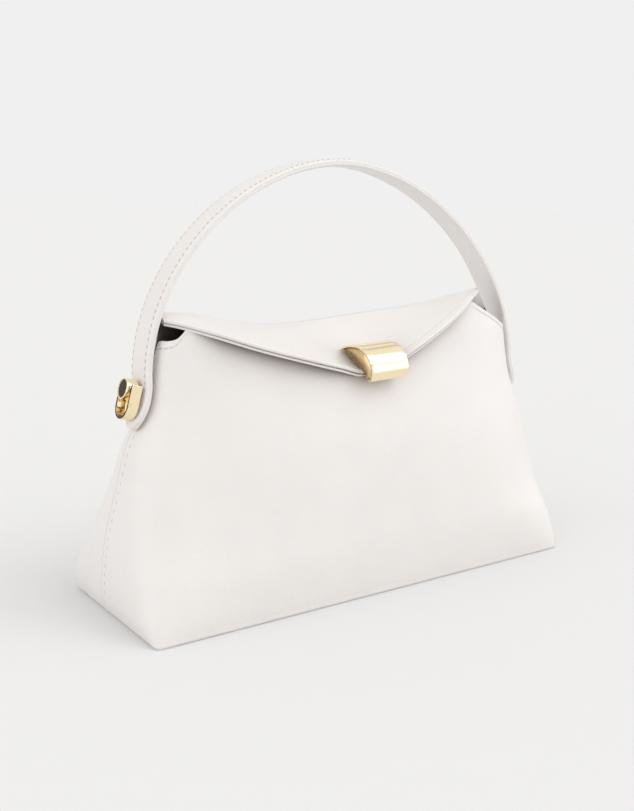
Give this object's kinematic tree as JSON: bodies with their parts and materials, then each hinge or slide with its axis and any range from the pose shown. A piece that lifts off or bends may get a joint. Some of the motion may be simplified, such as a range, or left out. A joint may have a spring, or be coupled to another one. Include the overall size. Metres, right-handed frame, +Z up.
{
  "type": "top-handle handbag",
  "caption": "Soft leather trapeze handbag with a sagging front flap, a metal clasp hood, and a rigid arched top handle held by a stud at each side.",
  "frame": {"origin": "middle of the bounding box at the base it stands on", "axes": "+X along the bag's width, to the right seen from the front; -Y is the front with the clasp; +Z up"},
  "size_m": [0.2924, 0.1034, 0.2356],
  "materials": {
    "leather": "smooth, fine grained, satin",
    "lining": "matt, finely ribbed",
    "gold": "polished, pale gold plate"
  },
  "bodies": {
    "root": {"front_panel": "leather", "back_panel": "leather", "flap_facing": "leather", "base_panel": "leather", "handle": "leather", "lining": "lining", "clasp_hood": "gold", "clasp_catch": "gold", "strap_ring_left": "gold", "stud_left": "gold", "stud_right": "gold", "stud_washer_left": "gold", "stud_washer_right": "gold"}
  },
  "joints": []
}
